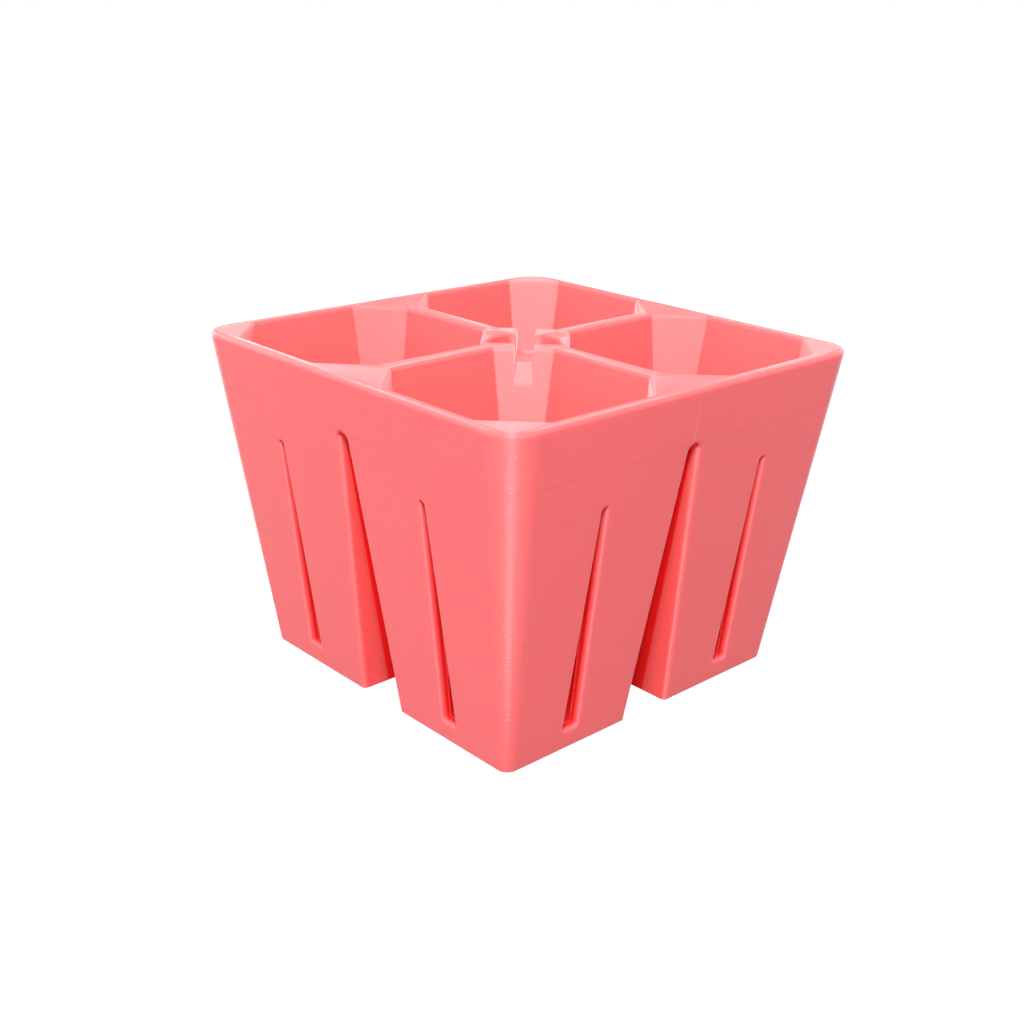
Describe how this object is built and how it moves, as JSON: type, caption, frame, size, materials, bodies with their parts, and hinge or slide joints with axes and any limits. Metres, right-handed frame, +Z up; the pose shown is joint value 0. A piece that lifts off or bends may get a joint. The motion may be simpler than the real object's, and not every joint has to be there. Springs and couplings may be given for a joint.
{
  "type": "seed starting tray",
  "caption": "Seed starting tray with deep tapering square cells under one rounded rim, slotted outer walls, gaps between its legs and a small half-round socket in the middle.",
  "frame": {"origin": "middle of the square that the feet stand on", "axes": "+Z up through the middle of the rim; X and Y square to the outer faces; the flat side of the socket faces the corner at +X, -Y"},
  "size_m": [0.126, 0.126, 0.0924],
  "materials": {
    "tray": "satin coral plastic, built up in very fine level layers"
  },
  "bodies": {
    "root": {"tray": "tray"}
  },
  "joints": []
}
